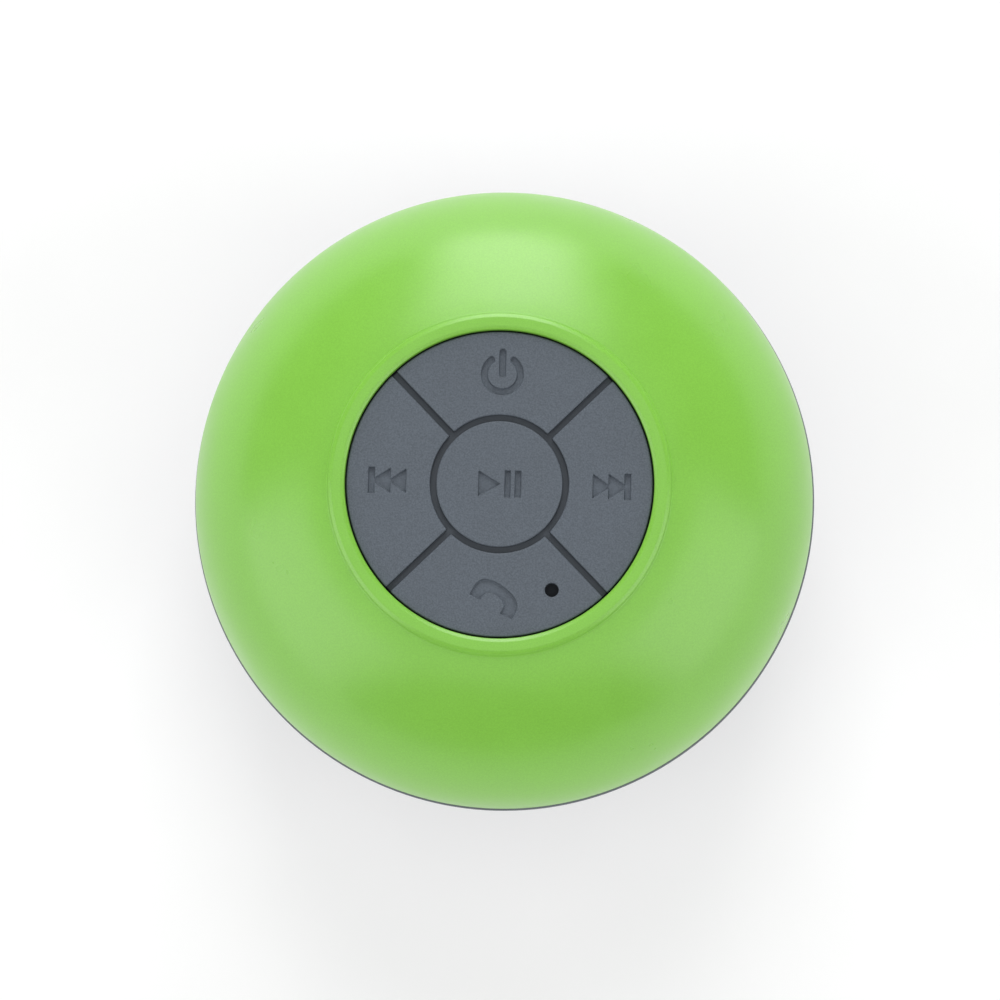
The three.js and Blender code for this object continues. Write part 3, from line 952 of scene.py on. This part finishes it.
def turned_piece(name, node, body, surface, slot, profile, place=(0, 0), segments=112, bend=None):
    """A turned piece that stands for one CAD node, centred on place."""
    bm = solid(fillet(profile, closed=profile[0][0] > 1e-6, steps=4), segments)
    bmesh.ops.translate(bm, vec=(*place, 0), verts=bm.verts)
    return piece(name, bm, body, surface.material, slot, [node], bend=bend)


YOKE = [(0, 28), (6, 28, 0.4), (6, 35.65), (13.8, 35.65, 0.2), (13.8, 37.8, 0.7), (0, 37.8)]
MAGNET = [(8.8, 30.25, 0.3), (14.5, 30.25, 0.5), (14.5, 35.6, 0.5), (8.8, 35.6, 0.3)]
FRONT_PLATE = [(7.2, 28.25, 0.15), (13.8, 28.25, 0.3), (13.8, 30.2, 0.3), (7.2, 30.2, 0.15)]
COIL = [(6.3, 24.6), (6.55, 24.6), (6.55, 27.3), (6.9, 27.5, 0.1), (6.9, 31, 0.1), (6.3, 31)]
GASKET = [(17.4, 19.35, 0.2), (19.8, 19.35, 0.2), (19.8, 20.15, 0.2), (17.4, 20.15, 0.2)]
MIC_CAN = [(0, 46.95), (2, 46.95), (2, 48.3, 0.25), (0.4, 48.3, 0.05), (0.4, 48.1), (0, 48.1)]
MIC_BOOT = [(0.95, 48.35, 0.1), (2, 48.35, 0.1), (1.9, 49.2), (2, 50.15, 0.1), (0.95, 50.15, 0.1)]
CAPACITOR_NECK = [(2.5, 44.1, 0.1), (2.3, 44.35, 0.1), (2.5, 44.6, 0.1)]
CAPACITOR = [(0, 40.25), (2.5, 40.25, 0.35), *CAPACITOR_NECK, (2.5, 45.2), (0, 45.2)]
MESH = [(0, 19.1), (19.8, 19.1), (19.8, 19.3), (0, 19.3)]
CONE = wavy(7.05, 14.9, 24.7, 20.8, 0.4, 7, 0.05, 0.25)
SPIDER = wavy(7.2, 13.1, 26.3, 25.2, 0.3, 5, 0.2)
SEAM_RING = circle(41.5, 27.15, 0.52, 16)
SWITCH_STEM = [(0, 47.4), (1, 47.4), (1, 49.2, 0.3), (0, 49.2)]

RUBBER = (black_rubber, "black_rubber")

# The inner edges of the surround and the spider stand above these heights; the two pieces are attached to no
# body.
ROLL_BEND = ("cone", 20.87, 21.07)
SPIDER_BEND = ("cone", 25.85, 26.2)

turned_piece("driver_yoke", "speaker_yoke", "housing", steel, "steel", YOKE)
turned_piece("driver_magnet", "speaker_magnet", "housing", ferrite, "ferrite", MAGNET)
turned_piece("driver_front_plate", "speaker_front_plate", "housing", steel, "steel", FRONT_PLATE)
turned_piece("driver_coil", "voice_coil", "cone", coil_wire, "copper", COIL)
turned_piece("driver_cone", "speaker_cone", "cone", cone_pulp, "cone_paper", CONE)
turned_piece("driver_dust_cap", "dust_cap", "cone", cone_pulp, "cone_paper", cap_profile())
roll = roll_profile()
turned_piece("driver_surround", "speaker_surround", "housing", *RUBBER, roll, bend=ROLL_BEND)
turned_piece("driver_spider", "speaker_spider", "housing", spider_cloth, "cloth", SPIDER, bend=SPIDER_BEND)
turned_piece("driver_gasket", "speaker_gasket", "housing", *RUBBER, GASKET)
turned_piece("driver_mesh", "speaker_mesh", "housing", mesh_cloth, "mesh_cloth", MESH)
turned_piece("seam_ring", "seam_gasket", "housing", *RUBBER, SEAM_RING, segments=224)
turned_piece("mic_can", "microphone", "housing", steel, "steel", MIC_CAN, MIC, 48)
turned_piece("mic_seal", "mic_boot", "housing", *RUBBER, MIC_BOOT, MIC, 48)
turned_piece("capacitor_can", "filter_capacitor", "housing", steel, "steel", CAPACITOR, (20.6, 7), 64)

for key in ("play", *KEY_ANGLES):
    stem, node = f"switch_stem_{key}", f"plunger_{key}"
    turned_piece(stem, node, node, black_plastic, "black_plastic", SWITCH_STEM, key_centre(key), 32)


def make_basket():
    profile = [(17.5, 20.2), (20, 20.2, 0.2), (20, 21, 0.2), (18.4, 21, 0.5), (14.6, 27.6, 0.6)]
    profile += [(14.6, 28.2), (8.2, 28.2), (8.2, 27.4), (13.6, 27.4, 0.6), (17.5, 20.6, 0.3)]
    bm = solid(fillet(profile))
    made = piece("driver_basket", bm, "housing", steel.material, "steel", ["speaker_basket"])
    made.modifiers.clear()
    window = rounded_box(11, -4, 22, 4, 1.2)
    cut(made, [prism(moved(window, 0, 0, 45 + 90 * i), 22.6, 26.4) for i in range(4)])
    smooth(made, 35)


make_basket()


def make_screw(name, node, place, z, head_r, head_h, shank_r, length):
    """A pan-head screw with its head down, rolled rings for a thread and a cross recess."""
    top = z + head_h + length
    pitch = shank_r * 0.55
    turns = int((length - 3 * pitch) / pitch)
    thread = []
    for i in range(turns):
        height = z + head_h + pitch * (i + 1)
        thread += [(shank_r, height), (shank_r * 0.78, height + pitch / 2)]
    profile = [(0, z), (head_r * 0.75, z, head_r * 0.4)]
    profile += [(head_r, z + head_h * 0.5, 0.4), (head_r, z + head_h, 0.1)]
    profile += [(shank_r * 0.9, z + head_h), *thread, (shank_r * 0.78, top - pitch), (0.15, top), (0, top)]
    bm = solid(fillet(profile, closed=False), 48)
    bmesh.ops.translate(bm, vec=(*place, 0), verts=bm.verts)
    made = piece(name, bm, "housing", screw_steel.material, "steel", [node])
    made.modifiers.clear()
    arm = rounded_box(-head_r * 0.62, -head_r * 0.12, head_r * 0.62, head_r * 0.12, 0.06)
    cut(made, [prism(moved(arm, *place, turn), z - 1, z + head_h * 0.7) for turn in (20, 110)])
    smooth(made, 35)


for i, angle in enumerate(POST_ANGLES):
    make_screw(f"shell_screw_{i + 1}", f"cover_screw_{i + 1}", polar(POST_R, angle), 12.25, 2.5, 1.7, 1.2, 12)
for i, angle in enumerate(BOARD_BOSS_ANGLES):
    place = polar(BOARD_BOSS_R, angle)
    make_screw(f"panel_screw_{i + 1}", f"board_screw_{i + 1}", place, 44.15, 1.9, 1.1, 0.8, 4)

# ---------------------------------------------------------------- board, battery and leads


def chip_part(x, y, turn):
    """A small two-ended component: the body, and its two plated ends."""
    z = 46.92
    body = prism(moved(rounded_box(-0.34, -0.3, 0.34, 0.3, 0.03), x, y, turn), z, z + 0.5)
    ends = []
    for x0, x1 in ((-0.62, -0.36), (0.36, 0.62)):
        ends.append(prism(moved(rounded_box(x0, -0.32, x1, 0.32, 0.05), x, y, turn), z, z + 0.53))
    return body, ends


def make_board():
    board = solid([(0, 45.3), (27.2, 45.3), (27.3, 45.4), (27.3, 46.8), (27.2, 46.9), (0, 46.9)], 224)
    made = piece("board_panel", board, "housing", board_mask.material, "circuit_board", ["main_board"])
    made.modifiers.clear()
    holes = [prism(circle(*polar(POST_R, angle), 3.6, 40), 44, 48) for angle in POST_ANGLES]
    holes += [prism(circle(*polar(BOARD_BOSS_R, angle), 1.3, 32), 44, 48) for angle in BOARD_BOSS_ANGLES]
    cut(made, holes)
    smooth(made, 35)
    bodies, ends = [], []
    for i in range(26):
        angle = 13.8 * i + 6
        x, y = polar(7.4 + (i * 7) % 11, angle)
        taken = [(0, 0), (14.5, 0), (-14.5, 0), (0, 14.5), (0, -14.5), MIC, (10.4, -11.2)]
        if min(math.dist((x, y), place) for place in taken) < 4:
            continue
        body, tips = chip_part(x, y, 90 * (i % 3))
        bodies.append(body)
        ends += tips
    bm = gather(bodies)
    tips = gather(ends, slot=1)
    scratch = bpy.data.meshes.new("scratch")
    tips.to_mesh(scratch)
    tips.free()
    bm.from_mesh(scratch)
    bpy.data.meshes.remove(scratch)
    piece("board_chips", bm, "housing", ferrite.material, "ferrite", second=steel.material)


make_board()


def make_socket_tongue():
    """The plastic tongue in the charging socket, with its contacts below."""
    tongue = upright(prism(rounded_box(-2.7, 22.2, 2.7, 22.75, 0.15), -36.3, -33.05))
    piece("socket_tongue", tongue, "housing", black_plastic.material, "black_plastic")
    strips = []
    for i in range(5):
        x = -1.3 + 0.65 * i
        strips.append(upright(prism(rounded_box(x - 0.17, 22.08, x + 0.17, 22.19, 0.04), -36.1, -33.1)))
    piece("socket_contacts", gather(strips), "housing", contact_gold.material, "copper")


make_socket_tongue()


def make_cell():
    bm = prism(rounded_box(-17, -13, 17, 13, 2.2), 38.7, 43.3)
    made = piece("cell_pouch", bm, "housing", cell_foil.material, "cell_wrap", ["battery_cell"])
    bevel = made.modifiers.new("bevel", "BEVEL")
    bevel.width = 0.9 * MM
    bevel.segments = 5
    bevel.limit_method = "ANGLE"
    bevel.angle_limit = math.radians(50)


make_cell()


def tube(points, radius, sides=16, per_span=10):
    """A lead of round section along a smooth curve, with flat ends."""
    path = [Vector(p) for p in curve(points, per_span)]
    bm = bmesh.new()
    rows = []
    side = Vector((1, 0, 0))
    for i, here in enumerate(path):
        along = (path[min(i + 1, len(path) - 1)] - path[max(i - 1, 0)]).normalized()
        side = (side - along * side.dot(along)).normalized()
        up = along.cross(side)
        row = []
        for k in range(sides):
            a = 2 * math.pi * k / sides
            row.append(bm.verts.new(here + side * radius * math.cos(a) + up * radius * math.sin(a)))
        rows.append(row)
    for low, high in zip(rows, rows[1:]):
        for k in range(sides):
            j = (k + 1) % sides
            bm.faces.new([low[k], low[j], high[j], high[k]])
    bm.faces.new(list(reversed(rows[0])))
    bm.faces.new(rows[-1])
    return bm


LEADS = {
    "battery_lead_red": [
        (-17.4, 3, 41), (-19.6, 1.6, 41.4), (-21.4, -3, 42.6), (-20.4, -7, 44), (-17.8, -8.8, 44.4)
    ],
    "battery_lead_black": [
        (-17.4, -1, 40.4), (-18.8, -2.8, 40.8), (-19.2, -6.4, 42), (-19, -9.6, 43.6), (-17.8, -11.4, 44.2)
    ],
    "speaker_lead_red": [
        (15.9, 1.4, 28), (18.4, 1.7, 29.6), (20.6, 1.6, 35), (20.2, -3.6, 41), (17.9, -8.8, 44.4)
    ],
    "speaker_lead_black": [
        (15.9, -1.4, 28), (18.2, -1.8, 29.4), (19.8, -3.4, 34), (19.2, -8.2, 40.6), (17.9, -11.4, 44)
    ],
    "usb_lead": [
        (0, -24.9, 20.4), (2, -23.5, 23), (4, -23, 30), (3, -22.4, 38), (0.6, -21.4, 42.6), (0, -20.6, 44.9)
    ],
}
for node, points in LEADS.items():
    colour, slot = (red_lead, "red_lead") if node.endswith("red") else (black_rubber, "black_lead")
    radius = 0.9 if node == "usb_lead" else 0.5
    piece(f"wire_{node}", tube(points, radius), "housing", colour.material, slot, [node])

# ---------------------------------------------------------------- CAD pieces that stay

for made in nodes.values():
    if made.hide_render:
        continue
    node = made.name
    if node == "usb_board":
        dress(node, board_mask, 0.06)
    elif node.startswith("switch") or node == "usb_socket":
        dress(node, steel, 0.1)
    elif node in ("battery_plug", "speaker_plug", "status_led"):
        dress(node, white_plastic, 0.1)
    elif node == "battery_pad":
        dress(node, black_rubber, 0.05)
    else:
        dress(node, black_plastic, 0.12)

# ---------------------------------------------------------------- floor, lights and camera


def make_floor():
    bm = bmesh.new()
    bmesh.ops.create_grid(bm, x_segments=40, y_segments=40, size=5)
    mesh = bpy.data.meshes.new("floor")
    bm.to_mesh(mesh)
    bm.free()
    s = Surface("floor_paper", 0.9)
    s.colour(s.ramp(s.noise(30, 3), [(0.3, (0.59, 0.59, 0.59)), (0.7, (0.61, 0.61, 0.61))]))
    s.shader.inputs["Emission Color"].default_value = (1, 1, 1, 1)
    s.shader.inputs["Emission Strength"].default_value = 0.37
    mesh.materials.append(s.material)
    floor = bpy.data.objects.new("floor", mesh)
    bpy.context.scene.collection.objects.link(floor)


make_floor()


def softbox(name, place, target, size, power, size_y=None):
    light = bpy.data.lights.new(name, "AREA")
    light.shape = "RECTANGLE"
    light.size = size
    light.size_y = size_y or size
    light.energy = power
    made = bpy.data.objects.new(name, light)
    made.location = place
    direction = Vector(target) - Vector(place)
    made.rotation_euler = direction.to_track_quat("-Z", "Y").to_euler()
    bpy.context.scene.collection.objects.link(made)


softbox("back_panel", (-0.01, 0.68, 0.38), (0, 0, 0.04), 0.43, 5.4, 0.88)
softbox("overhead", (0, -0.24, 1.28), (0, 0, 0.04), 1.6, 6.0)
softbox("left_panel", (-0.743, -0.347, 0.4), (0, 0, 0.03), 0.8, 4.4, 0.85)
softbox("right_panel", (0.755, -0.32, 0.4), (0, 0, 0.03), 0.75, 4.0, 0.85)

world = bpy.data.worlds.new("studio")
world.use_nodes = True
background = next(n for n in world.node_tree.nodes if n.type == "BACKGROUND")
background.inputs["Color"].default_value = (1, 1, 1, 1)
background.inputs["Strength"].default_value = 0.2
bpy.context.scene.world = world
bpy.context.scene.view_settings.view_transform = "Standard"

CAMERA_AZIMUTH = 17.5
CAMERA_ELEVATION = 84.9
CAMERA_ROLL = -16.0
CAMERA_DISTANCE = 0.63
camera_data = bpy.data.cameras.new("camera")
camera_data.lens = 170
camera_data.sensor_width = 36
camera_data.clip_start = 0.01
camera_data.shift_x = -0.004
camera = bpy.data.objects.new("camera", camera_data)
bpy.context.scene.collection.objects.link(camera)
azimuth, elevation = math.radians(CAMERA_AZIMUTH), math.radians(CAMERA_ELEVATION)
outward = Vector(
    (math.sin(azimuth) * math.cos(elevation), -math.cos(azimuth) * math.cos(elevation), math.sin(elevation))
)
aim = Vector((0, 0, EQUATOR_Z * MM))
camera.location = aim + outward * (CAMERA_DISTANCE + 0.025)
look = (-outward).to_track_quat("-Z", "Y")
camera.rotation_euler = (look.to_matrix() @ Matrix.Rotation(math.radians(CAMERA_ROLL), 3, "Z")).to_euler()
bpy.context.scene.camera = camera
